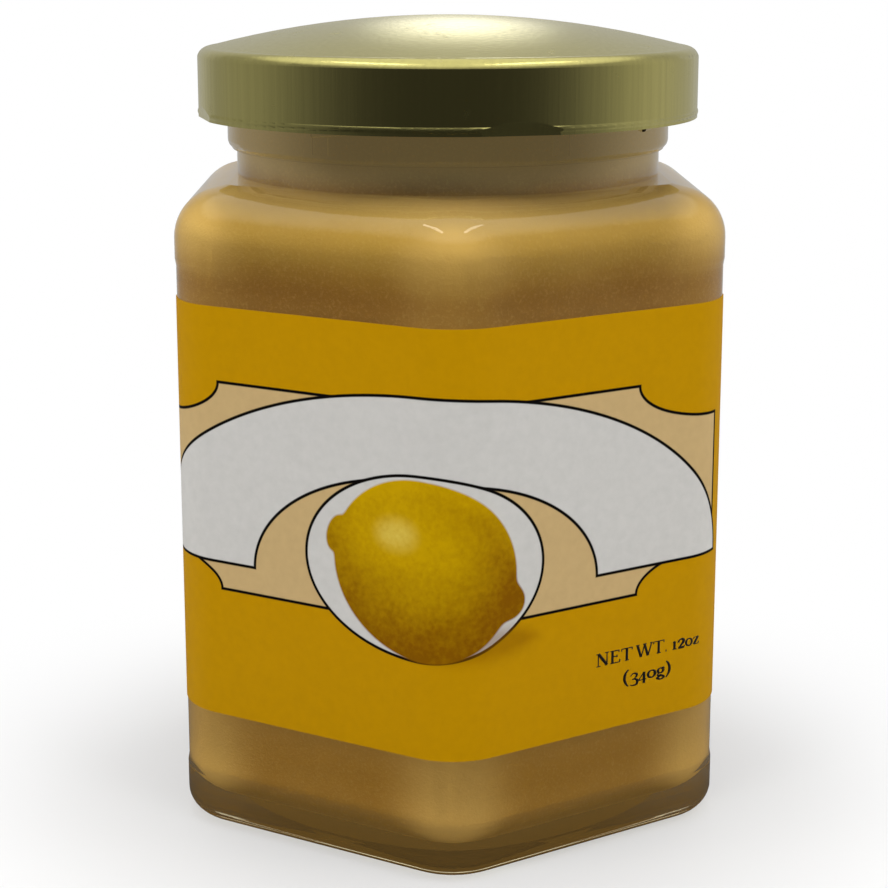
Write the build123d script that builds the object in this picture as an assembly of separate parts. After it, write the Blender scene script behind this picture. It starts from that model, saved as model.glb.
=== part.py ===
from build123d import *
import math
import os

# Hexagonal glass honey jar with a twist-off metal lid and a paper label, in millimetres.
# Origin at the middle of the base, +Z up, one corner of the hexagon towards -Y.

# ---- driving dimensions ---------------------------------------------------
body_flats = 67.86         # outside width of the hexagon, flat to flat
body_corner_radius = 9.0   # vertical corners of the hexagon, seen from above
shoulder_height = 81.0     # height where the shoulder meets the neck, on a flat
shoulder_slope = 13.5      # fall of the shoulder from neck to wall, degrees
shoulder_round = 6.2       # rounding between wall and shoulder
heel_round = 3.0           # rounding between wall and base
wall = 2.7                 # glass thickness of the body
floor_thickness = 3.4      # glass under the honey, at the wall
inner_heel_round = 4.0     # rounding inside, between wall and floor

panel_recess = 0.15        # depth of the label panel below the ridges
panel_bottom = 6.5         # label panel, lower edge
panel_drop = 9.0           # from the shoulder's height down to the panel's upper edge
panel_ramp = 0.9           # height of the sloping step at each end of the panel

base_band = 7.05           # flat standing band, from the heel in to the hollow
base_hollow_depth = 1.2    # shallow dome under the base

finish_radius = 27.8       # glass of the mouth, between the threads
finish_wall = 2.9
neck_inset = 0.6           # waist between shoulder and bead, inside the finish
neck_waist = 3.35          # height of the waist
bead_depth = 0.55          # how far the bead stands out of the finish
bead_height = 5.6
bead_round = 1.1
rim_round = 0.9            # rounding of the glass lip
rim_clearance = 0.1        # between glass lip and underside of the lid

seam_width = 2.2           # vertical mould seam marks on the bead
seam_height = 0.12
seam_angles = (-123.0, -63.5)

thread_count = 4
thread_start = -125.0      # lower end of the first thread, degrees from +X
thread_sweep = 62.0        # length of one thread, degrees
thread_tilt = 6.0          # rise of a thread, degrees
thread_width = 1.5
thread_depth = 1.15        # how far a thread stands out of the finish
thread_edge = 0.4
thread_show = 0.9          # how far a thread's lower end comes out below the lid

lid_room = 3.03            # from the thread's crest out to the lid's skirt
lid_over_bead = 3.95       # from the bead's underside up to the lid's lower edge
lid_skirt = 8.8            # from the lower edge up to the top's edge
lid_dome = 3.85            # rise of the top's middle above its edge
lid_edge_round = 1.5
lid_sheet = 0.4
curl_radius = 0.7          # rolled lower edge
curl_proud = 0.1           # how far the roll stands out of the skirt
lug_first = -75.8          # middle of the first lug, degrees from +X
lug_sweep = 16.0
lug_clearance = 0.25       # between a lug's tip and the bead
lug_height = 0.8
lug_lift = 0.2             # from the lid's lower edge up to a lug's underside
scallop_depth = 0.45       # press mark outside each lug
scallop_radius = 4.0

honey_headspace = 5.0      # from the honey's level up to the lip

label_below = 9.0          # bare panel under the label
label_above = 4.75         # bare panel over the label
label_thickness = 0.12
label_past_left = 11.0     # how far each end of the label wraps past its side corner
label_past_right = 4.5


# ---- shared values --------------------------------------------------------
panel_flats = body_flats - 2 * panel_recess
panel_corner_radius = body_corner_radius - panel_recess
panel_top = shoulder_height - panel_drop
inner_flats = panel_flats - 2 * wall
inner_corner_radius = panel_corner_radius - wall
base_hollow_radius = body_flats / 2 - heel_round - base_band
neck_radius = finish_radius - neck_inset
bore_radius = finish_radius - finish_wall
bead_radius = finish_radius + bead_depth
bead_bottom = shoulder_height + neck_waist
bead_top = bead_bottom + bead_height
thread_radius = finish_radius + thread_depth
lid_radius = thread_radius + lid_room
lid_bottom = bead_bottom + lid_over_bead
lid_edge_height = lid_bottom + lid_skirt
dome_radius = lid_radius - lid_edge_round
label_bottom = panel_bottom + label_below
label_height = panel_top - label_above - label_bottom


def lid_top(radius):
    """Height of the lid's outer surface, at a distance from its middle."""
    return lid_edge_height + lid_dome * (1 - (radius / dome_radius) ** 2)


rim_height = lid_top(finish_radius) - lid_sheet - rim_clearance
honey_level = rim_height - honey_headspace


def hexagon(flats, corner_radius):
    """Rounded hexagon with a corner towards -Y."""
    across_corners_half = flats / math.sqrt(3)
    outline = RegularPolygon(across_corners_half, 6, rotation=30)
    return fillet(outline.vertices(), corner_radius)


def prism(flats, corner_radius, bottom, top):
    return Pos(0, 0, bottom) * extrude(hexagon(flats, corner_radius), top - bottom)


def frustum(flats_low, flats_high, corner_low, bottom, top):
    """Hexagon that narrows upwards, its corners staying on their own centres."""
    corner_high = corner_low - (flats_low - flats_high) / 2
    low = Pos(0, 0, bottom) * hexagon(flats_low, corner_low)
    high = Pos(0, 0, top) * hexagon(flats_high, corner_high)
    return loft([low, high], ruled=True)


def shouldered_prism(flats, corner_radius, bottom, neck_height, neck_to, edge_round):
    """Hexagonal body with a sloping, rounded shoulder that ends at a neck."""
    reach = min(flats / 2 - neck_to, corner_radius - 0.5)
    fall = reach * math.tan(math.radians(shoulder_slope))
    edge_height = neck_height - fall
    body = prism(flats, corner_radius, bottom, edge_height)
    body += frustum(flats, flats - 2 * reach, corner_radius, edge_height, neck_height)
    edges = body.edges().filter_by_position(Axis.Z, edge_height - 0.01, edge_height + 0.01)
    widest_round = 0.95 * reach / math.tan(math.radians((90 - shoulder_slope) / 2))
    return fillet(edges, min(edge_round, widest_round))


def cylinder(radius, bottom, top):
    return Pos(0, 0, bottom) * extrude(Circle(radius), top - bottom)


def sector(sweep, radius, bottom, top):
    """Wedge about the Z axis, its middle towards +X."""
    half = math.radians(sweep / 2)
    far = radius / math.cos(half)
    tips = [(0, 0), (far * math.cos(half), -far * math.sin(half)),
            (far * math.cos(half), far * math.sin(half))]
    return Pos(0, 0, bottom) * extrude(make_face(Polyline(*tips, close=True)), top - bottom)


# ---- glass ----------------------------------------------------------------
def label_panel():
    """Ring cut from the body's walls, with a sloping step at each end."""
    outside = prism(body_flats + 4, body_corner_radius + 2, panel_bottom, panel_top)
    core = prism(panel_flats, panel_corner_radius, panel_bottom, panel_top)
    for end, turn in ((panel_bottom, 1), (panel_top, -1)):
        flange = frustum(body_flats, panel_flats, body_corner_radius, 0, panel_ramp)
        core += Pos(0, 0, end) * (flange if turn > 0 else mirror(flange, Plane.XY))
    return outside - core


def base_hollow():
    """Cap of a ball that makes the base stand on its outer band."""
    ball = (base_hollow_radius ** 2 + base_hollow_depth ** 2) / (2 * base_hollow_depth)
    return Pos(0, 0, base_hollow_depth - ball) * Sphere(ball)


def thread():
    """One thread: part of a tilted ring around the finish."""
    ring = cylinder(thread_radius, 0, thread_width)
    ring -= cylinder(finish_radius - finish_wall / 2, 0, thread_width)
    rims = ring.edges().filter_by(GeomType.CIRCLE).sort_by(SortBy.RADIUS)[-2:]
    ring = fillet(rims, thread_edge)
    half_sweep = math.sin(math.radians(thread_sweep / 2))
    half_rise = thread_radius * math.tan(math.radians(thread_tilt)) * half_sweep
    low_point = lid_bottom - thread_show
    ring = Pos(0, 0, low_point + half_rise) * Rot(X=thread_tilt) * ring
    return ring & sector(thread_sweep, lid_radius, low_point - thread_width, rim_height)


def finish():
    """Bead, plain ring, lip, seam marks and threads of the jar's mouth."""
    bead = cylinder(bead_radius, bead_bottom, bead_top)
    bead = fillet(bead.edges(), bead_round)
    lip = cylinder(finish_radius, bead_bottom, rim_height)
    lip = fillet(lip.edges().group_by(Axis.Z)[-1], rim_round)
    shape = cylinder(neck_radius, shoulder_height - wall, bead_top) + bead + lip
    for angle in seam_angles:
        mark = Box(2 * seam_height, seam_width, bead_height - 2 * bead_round)
        shape += Rot(Z=angle) * Pos(bead_radius, 0, (bead_bottom + bead_top) / 2) * mark
    for index in range(thread_count):
        middle = thread_start + thread_sweep / 2 + index * 360 / thread_count
        shape += Rot(Z=middle) * thread()
    return shape


def cavity():
    """Space inside the glass, from the floor through the mouth."""
    neck_height = shoulder_height - wall
    inner_round = max(shoulder_round - wall, 1.0)
    space = shouldered_prism(inner_flats, inner_corner_radius, floor_thickness,
                             neck_height, bore_radius, inner_round)
    space = fillet(space.edges().group_by(Axis.Z)[0], inner_heel_round)
    return space + cylinder(bore_radius, neck_height - wall, rim_height + wall)


def glass():
    body = shouldered_prism(body_flats, body_corner_radius, 0, shoulder_height,
                            neck_radius, shoulder_round)
    body = fillet(body.edges().group_by(Axis.Z)[0], heel_round)
    body -= label_panel()
    body -= base_hollow()
    shape = body + finish()
    shape -= cavity()
    mouth = shape.edges().filter_by(GeomType.CIRCLE).group_by(Axis.Z)[-1]
    return fillet(mouth.sort_by(SortBy.RADIUS)[:1], rim_round)


# ---- honey ----------------------------------------------------------------
def honey():
    return cavity() & prism(body_flats, body_corner_radius, 0, honey_level)


# ---- lid ------------------------------------------------------------------
def lid_shell(radius, lift, edge_round):
    """Solid cap bounded by the skirt, the rounded edge and the domed top."""
    edge = lid_edge_height - lift
    inside = radius - edge_round
    crown = lid_top(0) - lift
    dome_ball = (inside ** 2 + (crown - edge) ** 2) / (2 * (crown - edge))
    slope = math.asin(inside / dome_ball)
    corner = edge_round * math.tan((math.pi / 2 - slope) / 2)
    with BuildPart() as cap:
        with BuildSketch(Plane.XZ) as section:
            with BuildLine():
                Line((0, lid_bottom), (radius, lid_bottom))
                Line((radius, lid_bottom), (radius, edge - corner))
                RadiusArc((radius, edge - corner), (inside, edge), edge_round * -1.05)
                RadiusArc((inside, edge), (0, crown), -dome_ball)
                Line((0, crown), (0, lid_bottom))
            make_face()
        revolve(axis=Axis.Z)
    return cap.part


def lug():
    """Piece of the roll pressed inwards, its middle towards +X."""
    bottom = lid_bottom + lug_lift
    top = bottom + lug_height
    ring = cylinder(lid_radius - lid_sheet / 2, bottom, top)
    ring -= cylinder(bead_radius + lug_clearance, bottom, top)
    return ring & sector(lug_sweep, lid_radius, bottom, top)


def scallop():
    """Press mark left in the roll outside a lug, towards +X."""
    away = lid_radius + curl_proud - scallop_depth + scallop_radius
    return Pos(away, 0, lid_bottom) * Rot(X=90) * Cylinder(scallop_radius, lid_radius)


def lid():
    shape = lid_shell(lid_radius, 0, lid_edge_round)
    shape -= lid_shell(lid_radius - lid_sheet, lid_sheet, lid_edge_round - lid_sheet / 2)
    roll_centre = lid_radius + curl_proud - curl_radius
    shape += Pos(0, 0, lid_bottom + curl_radius) * Torus(roll_centre, curl_radius)
    for index in range(thread_count):
        turn = Rot(Z=lug_first + index * 360 / thread_count)
        shape += turn * lug()
        shape -= turn * scallop()
    return shape


# ---- label ----------------------------------------------------------------
def label():
    top = label_bottom + label_height
    outside = prism(panel_flats + 2 * label_thickness, panel_corner_radius + label_thickness,
                    label_bottom, top)
    band = outside - prism(panel_flats, panel_corner_radius, label_bottom, top)
    side_corner = -panel_flats / math.sqrt(3) / 2
    for past_corner, hand in ((label_past_left, -1), (label_past_right, 1)):
        keep_out = Box(panel_flats, panel_flats, 2 * top, align=(Align.CENTER, Align.MIN, Align.CENTER))
        band -= Pos(hand * panel_flats / 2, side_corner + past_corner, 0) * keep_out
    return band


os.makedirs("parts", exist_ok=True)
pieces = {"glass_jar": glass(), "honey": honey(), "lid": lid(), "label": label()}
for name, piece in pieces.items():
    export_step(piece, f"parts/{name}.step")
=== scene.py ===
import math

import bpy
from bpy.props import FloatProperty, FloatVectorProperty, PointerProperty, StringProperty
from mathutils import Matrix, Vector


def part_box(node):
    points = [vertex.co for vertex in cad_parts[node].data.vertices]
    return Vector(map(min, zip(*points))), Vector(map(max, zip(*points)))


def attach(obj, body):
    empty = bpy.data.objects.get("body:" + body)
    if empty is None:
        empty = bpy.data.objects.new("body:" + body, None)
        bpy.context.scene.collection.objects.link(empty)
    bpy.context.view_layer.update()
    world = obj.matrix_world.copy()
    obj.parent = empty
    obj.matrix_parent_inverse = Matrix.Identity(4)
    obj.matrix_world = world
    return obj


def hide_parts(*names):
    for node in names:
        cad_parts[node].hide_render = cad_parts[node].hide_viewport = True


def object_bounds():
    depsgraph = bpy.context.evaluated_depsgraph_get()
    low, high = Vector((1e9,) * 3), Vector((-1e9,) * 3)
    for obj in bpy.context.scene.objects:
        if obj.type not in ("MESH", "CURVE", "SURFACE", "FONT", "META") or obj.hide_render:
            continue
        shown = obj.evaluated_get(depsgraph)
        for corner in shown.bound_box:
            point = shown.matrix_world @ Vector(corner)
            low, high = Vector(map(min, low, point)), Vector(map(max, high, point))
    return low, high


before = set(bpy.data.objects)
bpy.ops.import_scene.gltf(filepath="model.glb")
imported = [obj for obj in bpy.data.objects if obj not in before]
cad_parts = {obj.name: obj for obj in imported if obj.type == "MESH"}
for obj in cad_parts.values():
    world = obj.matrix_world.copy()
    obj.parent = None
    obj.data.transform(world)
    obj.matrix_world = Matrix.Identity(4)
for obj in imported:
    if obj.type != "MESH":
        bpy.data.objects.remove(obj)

bl_info = {
    "name": "Honey Jar",
    "version": (1, 0),
    "blender": (4, 5, 0),
    "location": "3D View > Sidebar > Honey Jar",
    "description": "Finishes a hexagonal honey jar: glass, honey, lid and printed label",
    "category": "Add Mesh",
}

BODY = "root"
MM = 0.001
CAD_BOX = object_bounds()
LABEL_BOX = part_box("label")
HONEY_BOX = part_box("honey")
NECK_FOOT = 81.0 * MM  # where the shoulder meets the neck, over the middle of a flat
LABEL_FLATS = LABEL_BOX[1].x - LABEL_BOX[0].x
LABEL_BOTTOM = LABEL_BOX[0].z
LABEL_TOP = LABEL_BOX[1].z
BLACK = (0.0, 0.0, 0.0)
WHITE = (1.0, 1.0, 1.0)


# ---- settings a user can change -------------------------------------------
def size(name, description, default, smallest=0.0):
    return FloatProperty(name=name, description=description, default=default, min=smallest, unit="LENGTH")


def colour(name, description, default):
    return FloatVectorProperty(name=name, description=description, default=default,
                               size=3, min=0.0, max=1.0, subtype="COLOR")


def share(name, description, default):
    return FloatProperty(name=name, description=description, default=default,
                         min=0.0, max=1.0, subtype="FACTOR")


def srgb(red, green, blue):
    """Linear colour from the 0 to 255 values a paint card gives."""
    def linear(value):
        value /= 255
        return value / 12.92 if value <= 0.04045 else ((value + 0.055) / 1.055) ** 2.4
    return linear(red), linear(green), linear(blue)


class HONEYJAR_PG_jar(bpy.types.PropertyGroup):
    wall_bite: size("Wall bite", "How far the honey reaches into the glass", 0.06 * MM)
    glass_tint: colour("Glass tint", "Colour of the clear glass", (0.96, 0.97, 0.88))
    # Painted light: the amber of the glass at the heel, the shoulder and the neck stands for honey light seen
    # through it.
    glass_honey_light: colour("Thick glass", "Glass at the heel, the shoulder and the neck, full of honey light",
                        (0.68, 0.59, 0.37))
    glass_index: FloatProperty(name="Glass index", description="Index of refraction of the glass",
                               default=1.5, min=1.0, max=2.0)
    # Painted light: honey paler towards the shoulder, where light comes through it from above.
    honey_lit: colour("Honey", "Honey near the shoulder", srgb(162, 128, 54))
    # Painted shade: honey darker in the band above the label, below the neck's foot and round the neck under
    # the lid.
    honey_shade: colour("Deep honey", "Honey in the darker band above the label", srgb(112, 70, 0))
    honey_warm: colour("Warm honey", "Honey below the label", srgb(150, 106, 34))
    honey_corner: colour("Honey at the corners", "Honey where light comes from two sides", srgb(196, 160, 92))
    # Painted light: a pale veil of light on the honey at the shoulder and in the neck, also the colour of its
    # glow there.
    honey_pale_light: colour("Pale honey", "Honey at the shoulder and in the neck", srgb(190, 170, 122))
    honey_glow: share("Honey glow", "Light that comes through the honey where lamps don't reach", 0.42)
    lid_gold: colour("Lid gold", "Lacquer of the lid", srgb(222, 212, 132))
    lid_roughness: share("Lid roughness", "How brushed the lacquered metal is", 0.16)


class HONEYJAR_PG_label(bpy.types.PropertyGroup):
    corner_radius: size("Corner radius", "Rounding of the label round the jar's corners", 8.85 * MM)
    paper: size("Paper", "Thickness of the label's paper", 0.12 * MM)
    print_height: size("Print height", "How far printed letters stand proud of the paper", 0.012 * MM)
    capital: size("Capital", "Height of a capital in the net weight", 1.6 * MM)
    ground: colour("Ground", "Yellow ground of the label", srgb(170, 125, 0))
    cream: colour("Cream", "Cream panel", srgb(178, 152, 106))
    banner: colour("Banner", "Arched banner and oval", srgb(184, 182, 178))
    ink: colour("Ink", "Outlines and letters", srgb(10, 8, 7))
    fruit: colour("Fruit", "Lit side of the drawn lemon", srgb(176, 140, 0))
    fruit_shade: colour("Fruit shade", "Shaded side of the drawn lemon", srgb(116, 74, 0))
    gleam: colour("Gleam", "Small highlight on the drawn lemon", srgb(206, 186, 92))
    weight_first: StringProperty(name="Weight, first line", default="NET WT. 12oz",
                                 description="Net weight, upper line, in the letters drawn here")
    weight_second: StringProperty(name="Weight, second line", default="(340g)",
                                  description="Net weight, lower line, in the letters drawn here")


class HONEYJAR_PG_stage(bpy.types.PropertyGroup):
    camera_distance: size("Camera distance", "From the jar's axis to the camera", 249.33 * MM)
    camera_height: size("Camera height", "Height of the camera over the floor", 108.89 * MM)
    camera_turn: FloatProperty(name="Camera turn", description="Turn of the camera round the jar",
                               default=math.radians(-1.198), subtype="ANGLE")
    camera_aim: FloatProperty(name="Camera aim", description="Turn of the camera in its place",
                              default=math.radians(0.115), subtype="ANGLE")
    camera_pitch: FloatProperty(name="Camera pitch", description="How far the camera looks down",
                                default=math.radians(11.345), subtype="ANGLE")
    lens: FloatProperty(name="Lens", description="Focal length on a 36 mm sensor, in millimetres",
                        default=77.915, min=10.0)
    lens_shift: FloatProperty(name="Lens shift", description="Vertical shift of the lens", default=-0.1205)
    floor_colour: colour("Floor", "Colour of the floor", (0.8, 0.8, 0.8))
    # Painted shade: the floor's own colour turns dark amber at the jar's foot.
    floor_under: colour("Floor under the jar", "Floor at the jar's foot, in honey-coloured light",
                        (0.35, 0.28, 0.16))
    front_grey: share("Room in front", "Brightness of the room in front of the jar", 0.035)
    side_grey: share("Room beside", "Brightness of the room beside the jar", 0.32)
    back_grey: share("Room behind", "Brightness of the room behind the jar", 0.5)
    ceiling_grey: share("Ceiling", "Brightness of the room above the jar", 1.0)
    window_grey: FloatProperty(name="Window", description="Brightness of the window behind the jar",
                               default=2.3, min=0.0)


def settings(part):
    return getattr(bpy.context.scene, f"honey_jar_{part}")


# ---- shader expressions ----------------------------------------------------
class Value:
    """A number socket that Python's operators turn into Math nodes."""

    def __init__(self, finish, socket):
        self.finish = finish
        self.socket = socket

    def math(self, operation, *others):
        return self.finish.math(operation, self, *others)

    def __add__(self, other):
        return self.math("ADD", other)

    __radd__ = __add__

    def __sub__(self, other):
        return self.math("SUBTRACT", other)

    def __rsub__(self, other):
        return self.finish.math("SUBTRACT", other, self)

    def __mul__(self, other):
        return self.math("MULTIPLY", other)

    __rmul__ = __mul__

    def __truediv__(self, other):
        return self.math("DIVIDE", other)

    def __neg__(self):
        return self.math("MULTIPLY", -1.0)

    def __abs__(self):
        return self.math("ABSOLUTE")

    def root(self):
        return self.math("SQRT")

    def least(self, other):
        return self.math("MINIMUM", other)

    def most(self, other):
        return self.math("MAXIMUM", other)

    def clamped(self):
        return self.math("MAXIMUM", 0.0).math("MINIMUM", 1.0)

    def ramp(self, low, high):
        """0 at low, 1 at high, smooth between."""
        step = self.finish.node("ShaderNodeMapRange", {"interpolation_type": "SMOOTHSTEP"},
                                {"Value": self, "From Min": low, "From Max": high})
        return Value(self.finish, step.outputs["Result"])


class Finish:
    """Builds one material or world. Every node comes from node(), settings first and then sockets."""

    def __init__(self, name, kind="Material"):
        self.material = getattr(bpy.data, f"{kind.lower()}s").new(name)
        self.material.use_nodes = True
        self.tree = self.material.node_tree
        self.tree.nodes.clear()
        self.output = self.node(f"ShaderNodeOutput{kind}")

    def node(self, kind, settings=None, sockets=None):
        made = self.tree.nodes.new(kind)
        for name, value in (settings or {}).items():
            setattr(made, name, value)
        for name, value in (sockets or {}).items():
            self.feed(made.inputs[name], value)
        return made

    def feed(self, socket, value):
        if isinstance(value, Value):
            value = value.socket
        if isinstance(value, bpy.types.NodeSocket):
            self.tree.links.new(value, socket)
        elif socket.type == "RGBA" and len(value) == 3:
            socket.default_value = (*value, 1.0)
        else:
            socket.default_value = value

    def math(self, operation, *values):
        made = self.node("ShaderNodeMath", {"operation": operation}, dict(enumerate(values)))
        return Value(self, made.outputs[0])

    def mix(self, factor, first, second, blend="MIX"):
        made = self.node("ShaderNodeMix", {"data_type": "RGBA", "blend_type": blend},
                         {0: factor, 6: first, 7: second})
        return made.outputs[2]

    def place(self):
        """X, Y and Z on the object, in metres."""
        spot = self.node("ShaderNodeTexCoord").outputs["Object"]
        parts = self.node("ShaderNodeSeparateXYZ", None, {0: spot})
        return [Value(self, parts.outputs[axis]) for axis in range(3)]

    def scaled_place(self, scale=(1.0, 1.0, 1.0)):
        spot = self.node("ShaderNodeTexCoord").outputs["Object"]
        return self.node("ShaderNodeMapping", None, {"Vector": spot, "Scale": scale}).outputs[0]

    def noise(self, vector, scale, detail=3.0, roughness=0.5):
        made = self.node("ShaderNodeTexNoise", None,
                         {"Vector": vector, "Scale": scale, "Detail": detail, "Roughness": roughness})
        return Value(self, made.outputs["Fac"])

    def bump(self, height, strength, distance):
        made = self.node("ShaderNodeBump", None,
                         {"Height": height, "Strength": strength, "Distance": distance})
        return made.outputs["Normal"]

    def shader(self, kind, sockets):
        return self.node(kind, None, sockets).outputs[0]

    def principled(self, sockets):
        return self.shader("ShaderNodeBsdfPrincipled", sockets)

    def blend(self, factor, first, second):
        """First shader where the factor is 0, second where it is 1."""
        return self.shader("ShaderNodeMixShader", {0: factor, 1: first, 2: second})

    def light(self, kind, level, brightest=1.0):
        """Light of a varying level, mixed from none and the brightest."""
        none = self.shader(kind, {"Color": BLACK, "Strength": 0.0})
        full = self.shader(kind, {"Color": WHITE, "Strength": brightest})
        return self.blend(level / brightest, none, full)

    def finish(self, surface):
        self.feed(self.output.inputs["Surface"], surface)
        return self.material


def painted(finish, distance, edge):
    """Mask that is 1 inside a shape whose distance is negative inside, in millimetres."""
    return (0.5 - distance / edge).clamped()


def ellipse(across, up, centre, half_width, half_height):
    """Signed distance to an ellipse, close enough near its outline."""
    x = (across - centre[0]) / half_width
    z = (up - centre[1]) / half_height
    reach = (x * x + z * z).root().most(0.001)
    x_slope = x / half_width
    z_slope = z / half_height
    slope = (x_slope * x_slope + z_slope * z_slope).root().most(0.0001) / reach
    return (reach - 1.0) / slope


# ---- materials ---------------------------------------------------------------
def glass_material():
    look = settings("jar")
    glass = Finish("jar glass")
    ripple = glass.noise(glass.scaled_place((1.0, 1.0, 0.6)), 60.0, 1.0)
    frost = glass.noise(glass.scaled_place(), 1500.0, 2.0)
    smear = glass.noise(glass.scaled_place(), 240.0, 4.0)
    up = glass.place()[2]
    # Painted light: the glass is tinted amber at the neck and the heel, for honey light seen through it.
    top = up.ramp(NECK_FOOT - 1.0 * MM, NECK_FOOT + 4.0 * MM)
    heel = 1.0 - up.ramp(2.0 * MM, 12.0 * MM)
    clear = glass.principled({
        "Base Color": glass.mix(top + heel, look.glass_tint, look.glass_honey_light),
        "Transmission Weight": 1.0,
        "IOR": look.glass_index,
        "Roughness": smear.ramp(0.55, 0.8) * 0.05 + top * 0.06,
        "Normal": glass.bump(ripple + frost * top * 0.15, 0.25, 0.0006),
    })
    # Lamplight passes straight through, so the honey is lit and the shadow is soft.
    lamp_way = glass.shader("ShaderNodeBsdfTransparent", {"Color": (0.93, 0.95, 0.9)})
    shadow = glass.node("ShaderNodeLightPath").outputs["Is Shadow Ray"]
    return glass.finish(glass.blend(shadow, clear, lamp_way))


def honey_material():
    look = settings("jar")
    honey = Finish("creamed honey")
    across, deep, up = honey.place()
    cloud = honey.noise(honey.scaled_place((1.0, 1.0, 1.4)), 45.0, 4.0, 0.6)
    grain = honey.noise(honey.scaled_place(), 2600.0, 2.0, 0.7)
    height = up + (cloud - 0.5) * 2.0 * MM
    away = (across * across + deep * deep).root()
    aside = abs(across)

    # Zones from the foot up, each 0 to 1.
    below = 1.0 - up.ramp(LABEL_BOTTOM, LABEL_BOTTOM + 25.0 * MM)
    above = height.ramp(LABEL_TOP + 1.5 * MM, LABEL_TOP + 9.0 * MM)
    shoulder = height.ramp(NECK_FOOT - 5.0 * MM, NECK_FOOT)
    # Painted shade: a darker band just below the neck's foot.
    line = height.ramp(NECK_FOOT - 4.0 * MM, NECK_FOOT - 1.5 * MM)
    line = line * (1.0 - height.ramp(NECK_FOOT, NECK_FOOT + 2.5 * MM))
    # Painted shade: darker honey round the neck under the lid.
    under_lid = (1.0 - away.ramp(28.0 * MM, 34.0 * MM)) * height.ramp(NECK_FOOT - 3.0 * MM, NECK_FOOT)
    under_lid = under_lid * (1.0 - height.ramp(NECK_FOOT + 7.0 * MM, NECK_FOOT + 9.0 * MM))
    edge = away.ramp(HONEY_BOX[1].x + 0.8 * MM, -HONEY_BOX[0].y)
    # Painted light: paler honey at the corners, lit from two sides.
    corner = edge * (below.most(above) * 0.4 + 0.15)

    # Painted light and shade: warm honey at the foot, painted shade from the label up, painted light above
    # the label and a pale painted veil at the shoulder.
    body = honey.mix(below, look.honey_shade, look.honey_warm)
    body = honey.mix(above, body, look.honey_lit)
    body = honey.mix(shoulder, body, look.honey_pale_light)
    body = honey.mix(line * 0.75, body, look.honey_shade)
    body = honey.mix(under_lid * 0.75, body, look.honey_shade)
    body = honey.mix(corner, body, look.honey_corner)
    body = honey.mix((cloud - 0.45) * 0.35, body, look.honey_corner)
    body = honey.mix((grain - 0.5) * 0.7, body, look.honey_corner)

    # Light that travels through the honey: in the neck, at the foot and beside the label.
    neck_glow = height.ramp(NECK_FOOT - 2.0 * MM, NECK_FOOT + 3.0 * MM)
    neck_glow = neck_glow * (aside.ramp(12.0 * MM, 28.0 * MM) * 0.9 + 0.5)
    side_glow = above * aside.ramp(24.0 * MM, 32.0 * MM) * 0.4
    foot_glow = (1.0 - up.ramp(0.0, LABEL_BOTTOM * 0.9)) * (edge * 0.9 + 0.5)
    from_label = abs(up - LABEL_BOTTOM).least(abs(up - LABEL_TOP))
    label_glow = (1.0 - from_label.ramp(0.0, 6.0 * MM)) * 0.25
    glow = neck_glow + side_glow + foot_glow + label_glow + 0.06
    glow_colour = honey.mix(shoulder, look.honey_corner, look.honey_pale_light)
    surface = honey.principled({
        "Base Color": body,
        "Emission Color": honey.mix(glow * look.honey_glow, BLACK, glow_colour),
        "Emission Strength": 1.0,
        "Roughness": 0.6 + cloud * 0.2,
        "Specular IOR Level": 0.05,
        "Normal": honey.bump(grain, 0.3, 0.0002),
    })
    return honey.finish(surface)


def lid_material():
    look = settings("jar")
    metal = Finish("lid gold")
    streaks = metal.noise(metal.scaled_place((1.0, 1.0, 0.02)), 1500.0, 3.0, 0.65)
    wide = metal.noise(metal.scaled_place((1.0, 1.0, 0.1)), 160.0, 2.0)
    wear = metal.noise(metal.scaled_place(), 500.0, 3.0)
    tone = metal.mix(streaks * 0.7, look.lid_gold, tuple(part * 0.66 for part in look.lid_gold))
    surface = metal.principled({
        "Base Color": tone,
        "Metallic": 1.0,
        "Roughness": look.lid_roughness + streaks * 0.12 + wear.ramp(0.6, 0.8) * 0.08,
        "Normal": metal.bump(streaks + wide * 0.25, 0.15, 0.0001),
    })
    return metal.finish(surface)


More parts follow.
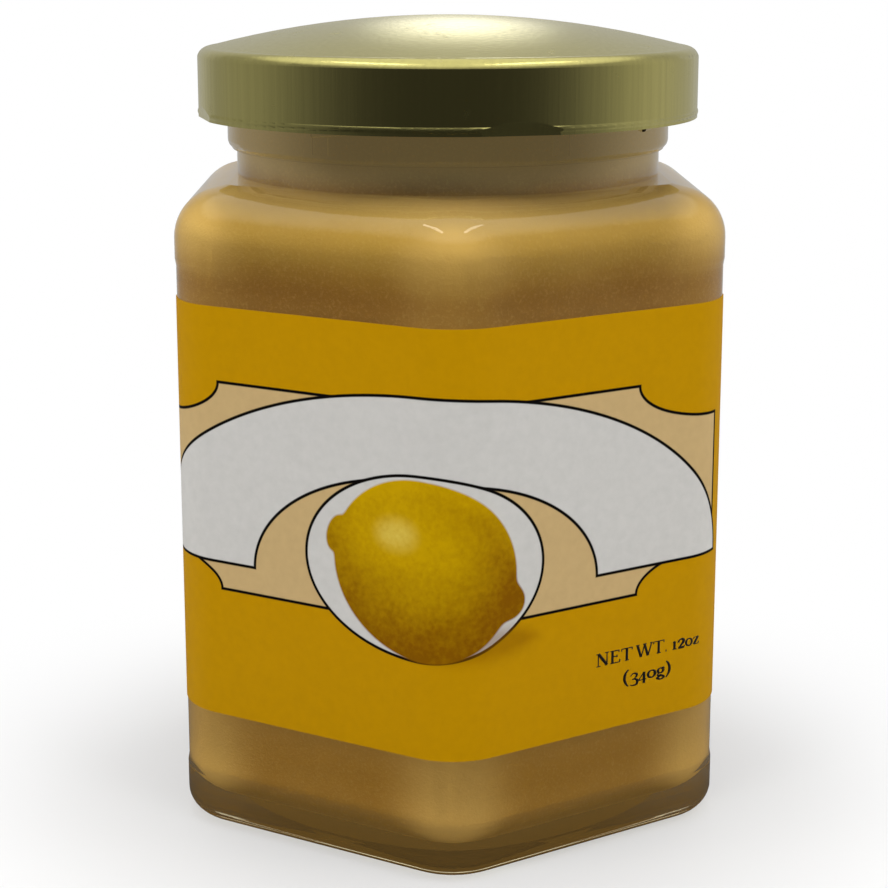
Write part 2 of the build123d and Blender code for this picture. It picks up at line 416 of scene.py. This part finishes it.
def label_design(paper):
    """Colour of the label's print. Every length is in millimetres, along the wall and up from the floor."""
    look = settings("label")
    start, end = label_ends()
    spot = paper.node("ShaderNodeUVMap", {"uv_map": "print"}).outputs[0]
    parts = paper.node("ShaderNodeSeparateXYZ", None, {0: spot})
    along = Value(paper, parts.outputs[0]) * ((end - start) / MM) + start / MM
    up = Value(paper, parts.outputs[1]) * ((LABEL_TOP - LABEL_BOTTOM) / MM) + LABEL_BOTTOM / MM
    edge = 0.12  # softness of an outline
    line = 0.19  # half the width of a drawn line
    fibre = paper.noise(paper.scaled_place(), 900.0, 3.0)

    middle = -3.35
    panel_low, panel_high, panel_half = 32.0, 58.05, 41.25
    aside = abs(along - middle)
    away = abs(up - (panel_low + panel_high) / 2)
    half_height = (panel_high - panel_low) / 2
    box = (aside - panel_half).most(away - half_height)
    notch = ellipse(aside, away, (panel_half, half_height), 12.5, 4.75)
    panel = box.most(-notch)

    banner_foot = 35.4
    outer = ellipse(along, up, (middle, banner_foot), 42.0, 23.75)
    inner = ellipse(along, up, (-3.85, banner_foot), 23.35, 13.9)
    arch = outer.most(-inner).most(banner_foot - up)
    oval = ellipse(along, up, (-4.0, 38.7), 15.7, 11.2)

    fruit_turn = math.radians(-17)
    cosine, sine = math.cos(fruit_turn), math.sin(fruit_turn)
    fruit_x = (along + 3.9) * cosine + (up - 38.4) * sine
    fruit_z = (up - 38.4) * cosine - (along + 3.9) * sine
    flesh = ellipse(fruit_x, fruit_z, (0.0, 0.0), 12.0, 10.9)
    nose = ellipse(fruit_x, fruit_z, (11.3, -0.7), 2.5, 2.3)
    stalk = ellipse(fruit_x, fruit_z, (-12.0, -0.3), 1.3, 2.3)
    lemon = flesh.math("SMOOTH_MIN", nose, 1.6).math("SMOOTH_MIN", stalk, 1.2)
    pores = paper.noise(paper.scaled_place(), 1500.0, 2.0)
    patches = paper.noise(paper.scaled_place(), 220.0, 2.0)
    lit = 1.0 - ellipse(fruit_x, fruit_z, (-3.5, 3.5), 9.0, 7.0).ramp(-7.0, 9.0)
    rim = flesh.ramp(-2.4, 0.0) * fruit_z.ramp(2.0, 7.0)
    gleam = 1.0 - ellipse(along, up, (-7.3, 42.6), 2.4, 1.6).ramp(-1.6, 1.4)
    under = ellipse(along, up, (2.2, 29.6), 9.0, 2.4).ramp(-2.0, 1.2)

    shape = paper.mix(painted(paper, panel, edge), look.ground, look.cream)
    shape = paper.mix(painted(paper, abs(panel) - line, edge), shape, look.ink)
    shape = paper.mix(painted(paper, arch, edge), shape, look.banner)
    shape = paper.mix(painted(paper, abs(arch) - line, edge), shape, look.ink)
    shape = paper.mix(painted(paper, oval, edge), shape, look.banner)
    shape = paper.mix(painted(paper, abs(oval) - line, edge), shape, look.ink)
    shape = paper.mix((1.0 - under) * 0.5, shape, look.fruit_shade)
    tone = lit + rim * 0.35 + (pores - 0.5) * 0.55 + (patches - 0.5) * 0.4
    skin = paper.mix(tone, look.fruit_shade, look.fruit)
    skin = paper.mix(gleam * (0.25 + pores * 0.5), skin, look.gleam)
    shape = paper.mix(painted(paper, lemon, 0.25), shape, skin)
    dull = paper.mix(fibre, (0.86, 0.86, 0.86), WHITE)
    return paper.mix(1.0, shape, dull, "MULTIPLY"), fibre


def label_material():
    paper = Finish("label paper")
    shown, fibre = label_design(paper)
    surface = paper.principled({
        "Base Color": shown,
        "Roughness": 0.5 + fibre * 0.12,
        "Specular IOR Level": 0.02,
        "Normal": paper.bump(fibre, 0.05, 0.0001),
    })
    return paper.finish(surface)


def ink_material():
    look = settings("label")
    ink = Finish("label ink")
    blot = ink.noise(ink.scaled_place(), 2500.0, 2.0)
    surface = ink.principled({
        "Base Color": ink.mix(blot * 0.3, look.ink, tuple(part * 1.8 for part in look.ink)),
        "Roughness": 0.4 + blot * 0.2,
    })
    return ink.finish(surface)


# ---- shaping helpers ---------------------------------------------------------
def deselect():
    if bpy.context.object and bpy.context.object.mode != "OBJECT":
        bpy.ops.object.mode_set(mode="OBJECT")
    bpy.ops.object.select_all(action="DESELECT")


def activate(piece):
    deselect()
    piece.select_set(True)
    bpy.context.view_layer.objects.active = piece


def merged_copy(node, name):
    """Copy of a CAD node with its loose triangles joined."""
    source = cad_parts[node]
    piece = bpy.data.objects.new(name, source.data.copy())
    bpy.context.scene.collection.objects.link(piece)
    piece.data.materials.clear()
    activate(piece)
    bpy.ops.object.mode_set(mode="EDIT")
    bpy.ops.mesh.select_all(action="SELECT")
    bpy.ops.mesh.remove_doubles(threshold=0.001 * MM)
    bpy.ops.object.mode_set(mode="OBJECT")
    return piece


def wear(piece, material):
    """Gives a piece its only material."""
    piece.data.materials.clear()
    piece.data.materials.append(material)


def label_ends():
    """Where the label starts and ends along the wall, from the middle of the front corner."""
    radius = settings("label").corner_radius
    side = LABEL_FLATS / math.sqrt(3)
    corner_arc = radius * math.pi / 3
    flat = side - 2 * radius * math.tan(math.pi / 6)
    to_side_flat = corner_arc / 2 + flat + corner_arc
    flat_start = -side / 2 + radius * math.tan(math.pi / 6)
    points = [vertex.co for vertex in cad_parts["label"].data.vertices]
    left = max(point.y for point in points if point.x < 0)
    right = max(point.y for point in points if point.x > 0)
    return -(to_side_flat + left - flat_start), to_side_flat + right - flat_start


def on_label(along, proud):
    """X and Y of a place on the label, that far proud of its outside."""
    radius = settings("label").corner_radius
    side = LABEL_FLATS / math.sqrt(3)
    half_arc = radius * math.pi / 6
    flat = side - 2 * radius * math.tan(math.pi / 6)
    centre = (LABEL_FLATS / 2 - radius) / math.cos(math.pi / 6)
    hand = -1 if along < 0 else 1
    rest = abs(along)
    turn = -math.pi / 2
    slide = 0.0
    corner = turn
    if rest <= half_arc:
        turn += rest / radius
    elif rest <= half_arc + flat:
        turn += math.pi / 6
        slide = rest - half_arc
    elif rest <= 3 * half_arc + flat:
        corner += math.pi / 3
        turn += math.pi / 6 + (rest - half_arc - flat) / radius
    else:
        corner += math.pi / 3
        turn += math.pi / 2
        slide = rest - 3 * half_arc - flat
    reach = radius + proud
    x = centre * math.cos(corner) + reach * math.cos(turn) - slide * math.sin(turn)
    y = centre * math.sin(corner) + reach * math.sin(turn) + slide * math.cos(turn)
    return hand * x, y


def wrap_on_label(piece):
    """Bends a flat piece, drawn along X and up Z, round the label. Minus Y is off the paper."""
    for vertex in piece.data.vertices:
        x, y = on_label(vertex.co.x, -vertex.co.y)
        vertex.co = Vector((x, y, vertex.co.z))
    piece.data.update()


# ---- letters -------------------------------------------------------------------
THICK = 0.21  # width of a thick stroke, in heights of a capital
THIN = 0.1


def bar(x0, y0, x1, y1, width=THIN):
    return "line", ((x0, y0, width), (x1, y1, width))


def ring(x, y, wide, tall):
    """Round letter part, thick at its sides and thin at top and foot."""
    turns = [math.radians(45 * step) for step in range(8)]
    return "ring", [(x + wide * 1.1 * math.cos(turn), y + tall * 1.1 * math.sin(turn),
                     THIN + (THICK - THIN) * abs(math.cos(turn))) for turn in turns]


def arc(*points):
    return "arc", points


# Each letter: how far the pen moves on, and its strokes. A capital is one unit high.
LETTERS = {
    "N": (0.98, (bar(0.14, 0.0, 0.14, 1.0), bar(0.14, 1.0, 0.76, 0.0, THICK), bar(0.76, 0.0, 0.76, 1.0),
                 bar(0.0, 0.0, 0.3, 0.0), bar(-0.02, 0.98, 0.18, 0.98), bar(0.6, 1.0, 0.9, 1.0))),
    "E": (0.82, (bar(0.18, 0.0, 0.18, 1.0, THICK), bar(0.02, 0.98, 0.64, 0.98), bar(0.18, 0.53, 0.5, 0.53),
                 bar(0.02, 0.02, 0.68, 0.02), bar(0.64, 1.0, 0.64, 0.8), bar(0.68, 0.0, 0.7, 0.22),
                 bar(0.5, 0.64, 0.5, 0.42))),
    "T": (0.82, (bar(0.4, 0.0, 0.4, 1.0, THICK), bar(0.02, 0.97, 0.78, 0.97), bar(0.02, 1.0, 0.02, 0.78),
                 bar(0.78, 1.0, 0.78, 0.78), bar(0.24, 0.01, 0.56, 0.01))),
    "W": (1.26, (bar(0.08, 1.0, 0.36, 0.0, THICK), bar(0.36, 0.0, 0.6, 1.0), bar(0.6, 1.0, 0.86, 0.0, THICK),
                 bar(0.86, 0.0, 1.12, 1.0), bar(-0.04, 0.99, 0.24, 0.99), bar(0.48, 0.99, 0.74, 0.99),
                 bar(1.0, 0.99, 1.22, 0.99))),
    ".": (0.28, (bar(0.08, 0.06, 0.16, 0.06, THICK),)),
    " ": (0.26, ()),
    "1": (0.46, (bar(0.22, 0.0, 0.22, 0.64, THICK), bar(0.06, 0.01, 0.38, 0.01),
                 bar(0.08, 0.56, 0.22, 0.63))),
    "2": (0.56, (arc((0.05, 0.46, THICK), (0.08, 0.7, THIN), (0.44, 0.72, THICK), (0.42, 0.36, THICK),
                     (0.04, 0.04, THIN)), bar(0.04, 0.04, 0.48, 0.04, THICK), bar(0.48, 0.02, 0.5, 0.18))),
    "o": (0.62, (ring(0.28, 0.32, 0.21, 0.28),)),
    "z": (0.54, (bar(0.05, 0.6, 0.44, 0.6), bar(0.42, 0.6, 0.05, 0.03, THICK), bar(0.05, 0.03, 0.46, 0.03),
                 bar(0.05, 0.6, 0.05, 0.46), bar(0.46, 0.02, 0.47, 0.18))),
    "(": (0.4, (arc((0.32, 1.1, THIN), (0.08, 0.85, THICK), (0.08, 0.05, THICK), (0.32, -0.25, THIN)),)),
    ")": (0.34, (arc((0.02, 1.1, THIN), (0.26, 0.85, THICK), (0.26, 0.05, THICK), (0.02, -0.25, THIN)),)),
    "3": (0.54, (arc((0.06, 0.5, THIN), (0.16, 0.72, THIN), (0.5, 0.62, THICK), (0.36, 0.26, THIN),
                     (0.16, 0.24, THIN)),
                 arc((0.16, 0.24, THIN), (0.5, 0.26, THICK), (0.52, -0.26, THICK), (0.12, -0.3, THIN),
                     (0.04, -0.18, THIN)))),
    "4": (0.6, (bar(0.4, 0.64, 0.04, 0.03), bar(0.04, 0.03, 0.54, 0.03), bar(0.4, 0.64, 0.4, -0.28, THICK))),
    "0": (0.62, (ring(0.28, 0.32, 0.22, 0.29),)),
    "g": (0.58, (ring(0.24, 0.43, 0.16, 0.19), ring(0.26, -0.14, 0.21, 0.13),
                 arc((0.14, 0.26, THIN), (0.02, 0.12, THIN), (0.12, 0.04, THICK), (0.36, 0.03, THICK)),
                 bar(0.34, 0.58, 0.5, 0.62, THICK))),
}


# ---- pieces --------------------------------------------------------------------
class HONEYJAR_OT_glass(bpy.types.Operator):
    """Gives the glass jar its clear, slightly uneven finish"""
    bl_idname = "honeyjar.glass"
    bl_label = "Glass"

    def execute(self, context):
        wear(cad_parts["glass_jar"], glass_material())
        return {"FINISHED"}


class HONEYJAR_OT_honey(bpy.types.Operator):
    """Fills the jar with honey that reaches just into the glass"""
    bl_idname = "honeyjar.honey"
    bl_label = "Honey"

    def execute(self, context):
        piece = merged_copy("honey", "honey_fill")
        bpy.ops.object.mode_set(mode="EDIT")
        bpy.ops.mesh.select_all(action="SELECT")
        bpy.ops.transform.shrink_fatten(value=settings("jar").wall_bite)
        bpy.ops.object.mode_set(mode="OBJECT")
        bpy.ops.object.shade_smooth_by_angle(angle=math.radians(40))
        wear(piece, honey_material())
        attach(piece, BODY)
        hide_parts("honey")
        return {"FINISHED"}


class HONEYJAR_OT_lid(bpy.types.Operator):
    """Gives the lid its brushed gold lacquer"""
    bl_idname = "honeyjar.lid"
    bl_label = "Lid"

    def execute(self, context):
        wear(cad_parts["lid"], lid_material())
        return {"FINISHED"}


class HONEYJAR_OT_label(bpy.types.Operator):
    """Wraps the printed paper label round the front of the jar"""
    bl_idname = "honeyjar.label"
    bl_label = "Label"

    def execute(self, context):
        look = settings("label")
        start, end = label_ends()
        deselect()
        bpy.ops.mesh.primitive_grid_add(x_subdivisions=300, y_subdivisions=4, size=1.0)
        piece = context.object
        piece.name = "label_paper"
        piece.data.name = "label_paper"
        print_map = piece.data.uv_layers.active
        print_map.name = "print"
        for loop in piece.data.loops:
            spot = piece.data.vertices[loop.vertex_index].co
            print_map.data[loop.index].uv = (spot.x + 0.5, spot.y + 0.5)
        for vertex in piece.data.vertices:
            along = start + (vertex.co.x + 0.5) * (end - start)
            up = LABEL_BOTTOM + (vertex.co.y + 0.5) * (LABEL_TOP - LABEL_BOTTOM)
            vertex.co = Vector((along, 0.0, up))
        wrap_on_label(piece)
        activate(piece)
        solid = piece.modifiers.new("paper", "SOLIDIFY")
        solid.thickness = look.paper
        solid.offset = -1.0
        bpy.ops.object.modifier_apply(modifier=solid.name)
        bpy.ops.object.shade_smooth_by_angle(angle=math.radians(30))
        wear(piece, label_material())
        piece.visible_shadow = False
        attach(piece, BODY)
        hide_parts("label")
        return {"FINISHED"}


class HONEYJAR_OT_weight(bpy.types.Operator):
    """Prints the net weight on the right of the label"""
    bl_idname = "honeyjar.weight"
    bl_label = "Net weight"

    def execute(self, context):
        look = settings("label")
        ink = ink_material()
        lines = (
            ("weight_line_one", look.weight_first, 19.6 * MM, 35.6 * MM, 23.8 * MM),
            ("weight_line_two", look.weight_second, 23.7 * MM, 31.1 * MM, 20.75 * MM),
        )
        for name, words, left, right, foot in lines:
            piece = self.letters(name, words)
            across = [vertex.co.x for vertex in piece.data.vertices]
            low, high = min(across), max(across)
            for vertex in piece.data.vertices:
                along = left + (vertex.co.x - low) / (high - low) * (right - left)
                proud = look.print_height if vertex.co.z > 0 else -look.print_height
                vertex.co = Vector((along, -proud, foot + vertex.co.y * look.capital))
            wrap_on_label(piece)
            wear(piece, ink)
            piece.visible_shadow = False
            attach(piece, BODY)
        return {"FINISHED"}

    def letters(self, name, words):
        """Flat letters, drawn as thick and thin pen strokes, their capitals one unit high."""
        drawing = bpy.data.curves.new(name, "CURVE")
        drawing.dimensions = "3D"
        drawing.bevel_depth = 0.5
        drawing.bevel_resolution = 1
        drawing.use_fill_caps = True
        pen = 0.0
        for letter in words:
            advance, strokes = LETTERS[letter]
            for kind, points in strokes:
                self.stroke(drawing, kind, pen, points)
            pen += advance
        piece = bpy.data.objects.new(name, drawing)
        bpy.context.scene.collection.objects.link(piece)
        activate(piece)
        bpy.ops.object.convert(target="MESH")
        piece = bpy.context.object
        piece.data.name = name
        return piece

    def stroke(self, drawing, kind, pen, points):
        """One stroke of a letter, at the pen's place. Each point has its own width."""
        line = drawing.splines.new("POLY" if kind == "line" else "NURBS")
        line.points.add(len(points) - 1)
        for point, (x, y, width) in zip(line.points, points):
            point.co = (pen + x, y, 0.0, 1.0)
            point.radius = width
        line.use_cyclic_u = kind == "ring"
        if kind == "arc":
            line.order_u = 3
            line.use_endpoint_u = True
        line.resolution_u = 4


# ---- stage ---------------------------------------------------------------------
def area_light(name, spot, aim, width, height, power):
    bpy.ops.object.light_add(type="AREA", location=spot)
    light = bpy.context.object
    light.name = name
    light.data.shape = "RECTANGLE"
    light.data.size = width
    light.data.size_y = height
    light.data.energy = power
    light.rotation_euler = (Vector(aim) - Vector(spot)).to_track_quat("-Z", "Y").to_euler()
    return light


def room_level(sideways, backwards, upwards):
    """Brightness of the room by direction: dark in front, paler behind and above, a window low behind."""
    look = settings("stage")
    side = (sideways.ramp(0.4, 0.95) * 0.45 + 1.0) * look.side_grey
    level = look.front_grey + backwards.ramp(-1.0, 0.4) * (side - look.front_grey)
    level = level + backwards.ramp(0.6, 0.9) * (look.back_grey - side)
    level = level.most(upwards.ramp(0.5, 0.75) * look.ceiling_grey)
    window = (1.0 - abs(sideways - 0.03).ramp(0.0, 0.12)) * backwards.ramp(0.0, 0.2)
    window = window * upwards.ramp(0.12, 0.22) * (1.0 - upwards.ramp(0.36, 0.44))
    return level.most(window * look.window_grey)


class HONEYJAR_OT_stage(bpy.types.Operator):
    """Adds the floor, the white room, the soft lights and the camera"""
    bl_idname = "honeyjar.stage"
    bl_label = "Stage"

    def execute(self, context):
        look = settings("stage")
        deselect()
        self.add_floor(look)
        self.add_world(look)
        middle = (CAD_BOX[0] + CAD_BOX[1]) / 2
        # Name, place, width, height and power of each lamp, and whether reflections show it.
        lamps = (
            ("light_left", (-0.54, -0.31, 0.67), 0.5, 0.4, 4.4, False),
            ("strip_left", (-0.33, -0.19, 0.86), 0.5, 0.06, 0.4, True),
            ("light_right", (0.54, -0.31, 0.67), 0.5, 0.4, 4.4, False),
            ("strip_right", (0.33, -0.19, 0.86), 0.5, 0.06, 0.4, True),
            ("light_top", (0.0, 0.25, 0.75), 0.7, 0.3, 2.6, False),
        )
        for name, spot, width, height, power, mirrored in lamps:
            area_light(name, spot, middle, width, height, power).visible_glossy = mirrored
        self.add_camera(look)
        return {"FINISHED"}

    def add_floor(self, look):
        """White to the camera, with the jar's shadow round its foot, and to all else a plain floor with
        painted shade round the jar.
        """
        bpy.ops.mesh.primitive_plane_add(size=20.0, location=(0.0, 0.0, CAD_BOX[0].z))
        floor = bpy.context.object
        floor.name = "floor"
        ground = Finish("floor white")
        across, deep, up = ground.place()
        reach = (across * across + deep * deep).root()
        speck = ground.noise(ground.scaled_place(), 30.0, 2.0)
        pale = ground.mix(speck * 0.1, look.floor_colour, (0.75, 0.75, 0.75))
        # Painted shade and honey-coloured light: the floor's colour is dark amber at the jar's foot.
        plain = ground.principled({
            "Base Color": ground.mix(reach.ramp(34.0 * MM, 55.0 * MM), look.floor_under, pale),
            "Roughness": 0.7,
            "Specular IOR Level": 0.1,
        })
        room = room_level(across / reach, deep / reach, up)
        # Painted shadow: the floor seen in reflections is darker near the jar.
        near_dark = reach.ramp(30.0 * MM, 100.0 * MM) * 0.7 + 0.3
        mirrored = ground.light("ShaderNodeEmission", room * near_dark)

        # The camera sees a soft shadow, partly cast by the lamps and partly painted as a dimmer glow round
        # the foot, that is a little longer in front, and white farther out.
        forward = deep + 20.0 * MM
        far = (across * across + forward * forward).root().ramp(45.0 * MM, 100.0 * MM)
        shade = ground.shader("ShaderNodeBsdfDiffuse", {"Color": (0.26, 0.26, 0.26)})
        foot = reach.ramp(30.0 * MM, 75.0 * MM) * 0.16 + 0.41
        veil = ground.light("ShaderNodeEmission", foot)
        near = ground.shader("ShaderNodeAddShader", {0: shade, 1: veil})
        white = ground.shader("ShaderNodeEmission", {"Color": WHITE})
        shown = ground.blend(far, near, white)
        paths = ground.node("ShaderNodeLightPath").outputs
        hidden = ground.blend(paths["Is Glossy Ray"], plain, mirrored)
        ground.finish(ground.blend(paths["Is Camera Ray"], hidden, shown))
        wear(floor, ground.material)

    def add_world(self, look):
        """White to the camera and through clear glass, and to all else a room of greys."""
        room = Finish("white room", "World")
        bpy.context.scene.world = room.material
        spot = room.node("ShaderNodeTexCoord").outputs["Generated"]
        parts = room.node("ShaderNodeSeparateXYZ", None, {0: spot})
        level = room_level(*(Value(room, parts.outputs[axis]) for axis in range(3)))
        paths = room.node("ShaderNodeLightPath")
        through = Value(room, paths.outputs["Is Transmission Ray"])
        bounced = Value(room, paths.outputs["Diffuse Depth"]).least(1.0)
        eye = Value(room, paths.outputs["Is Camera Ray"]).most(through * (1.0 - bounced))
        brightest = max(look.window_grey, look.ceiling_grey, 1.0)
        room.finish(room.light("ShaderNodeBackground", level.most(eye), brightest))

    def add_camera(self, look):
        turn = look.camera_turn
        reach = look.camera_distance
        spot = (reach * math.sin(turn), -reach * math.cos(turn), look.camera_height)
        bpy.ops.object.camera_add(location=spot)
        camera = bpy.context.object
        camera.rotation_euler = (math.pi / 2 - look.camera_pitch, 0.0, turn + look.camera_aim)
        camera.data.sensor_width = 36.0
        camera.data.lens = look.lens
        camera.data.shift_y = look.lens_shift
        camera.data.clip_start = 0.005
        bpy.context.scene.camera = camera
        bpy.context.scene.view_settings.view_transform = "Standard"


class HONEYJAR_PT_panel(bpy.types.Panel):
    bl_label = "Honey Jar"
    bl_idname = "HONEYJAR_PT_panel"
    bl_space_type = "VIEW_3D"
    bl_region_type = "UI"
    bl_category = "Honey Jar"

    def draw(self, context):
        for part in GROUPS:
            column = self.layout.column()
            group = settings(part)
            for name in group.__annotations__:
                column.prop(group, name)
        for operator in PIECES:
            self.layout.operator(operator.bl_idname)


GROUPS = {"jar": HONEYJAR_PG_jar, "label": HONEYJAR_PG_label, "stage": HONEYJAR_PG_stage}
PIECES = (HONEYJAR_OT_glass, HONEYJAR_OT_honey, HONEYJAR_OT_lid, HONEYJAR_OT_label,
          HONEYJAR_OT_weight, HONEYJAR_OT_stage)
CLASSES = (*GROUPS.values(), *PIECES, HONEYJAR_PT_panel)


def register():
    for made in CLASSES:
        bpy.utils.register_class(made)
    for part, group in GROUPS.items():
        setattr(bpy.types.Scene, f"honey_jar_{part}", PointerProperty(type=group))


def unregister():
    for part in GROUPS:
        delattr(bpy.types.Scene, f"honey_jar_{part}")
    for made in reversed(CLASSES):
        bpy.utils.unregister_class(made)


def main():
    register()
    bpy.ops.honeyjar.glass()
    bpy.ops.honeyjar.honey()
    bpy.ops.honeyjar.lid()
    bpy.ops.honeyjar.label()
    bpy.ops.honeyjar.weight()
    bpy.ops.honeyjar.stage()


if __name__ == "__main__":
    main()
